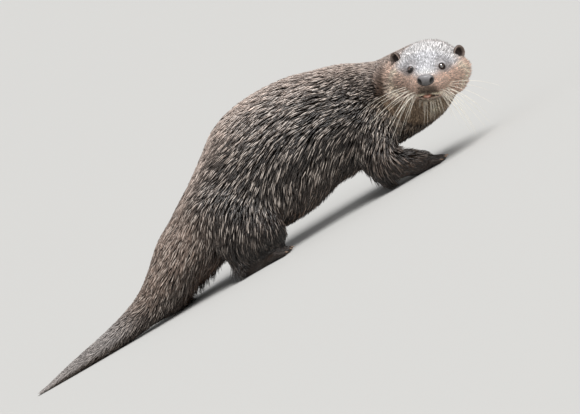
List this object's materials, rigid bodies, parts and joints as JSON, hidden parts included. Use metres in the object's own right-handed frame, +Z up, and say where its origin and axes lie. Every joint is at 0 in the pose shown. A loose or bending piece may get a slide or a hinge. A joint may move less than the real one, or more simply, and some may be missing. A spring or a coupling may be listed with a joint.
{
  "type": "eurasian river otter",
  "caption": "Life-size wet river otter standing with arched back and long tapering tail, head turned to its right and tilted.",
  "frame": {"origin": "centre of the bounding box on the floor", "axes": "+X from the tail towards the shoulders, +Y to the otter's left, +Z up"},
  "size_m": [0.8943, 0.2453, 0.2488],
  "materials": {
    "coat": "wet grey-brown fur",
    "eye": "wet dark brown eye",
    "nose": "damp pebbled grey skin",
    "tongue": "wet pink skin",
    "claw": "pale orange horn"
  },
  "bodies": {
    "root": {"tail": "coat", "trunk": "coat", "neck": "coat", "head": "coat", "ear_right": "coat", "ear_left": "coat", "eye_right": "eye", "eye_left": "eye", "nose": "nose", "tongue": "tongue", "leg_hind_right": "coat", "leg_hind_left": "coat", "leg_front_right": "coat", "leg_front_left": "coat", "foot_hind_right": "coat", "foot_hind_left": "coat", "foot_front_right": "coat", "foot_front_left": "coat", "claw_hind_right_outer": "claw", "claw_hind_right_fourth": "claw", "claw_hind_right_third": "claw", "claw_hind_right_second": "claw", "claw_hind_right_inner": "claw", "claw_hind_left_outer": "claw", "claw_hind_left_fourth": "claw", "claw_hind_left_third": "claw", "claw_hind_left_second": "claw", "claw_hind_left_inner": "claw", "claw_front_right_outer": "claw", "claw_front_right_fourth": "claw", "claw_front_right_third": "claw", "claw_front_right_second": "claw", "claw_front_right_inner": "claw", "claw_front_left_outer": "claw", "claw_front_left_fourth": "claw", "claw_front_left_third": "claw", "claw_front_left_second": "claw", "claw_front_left_inner": "claw"}
  },
  "joints": []
}
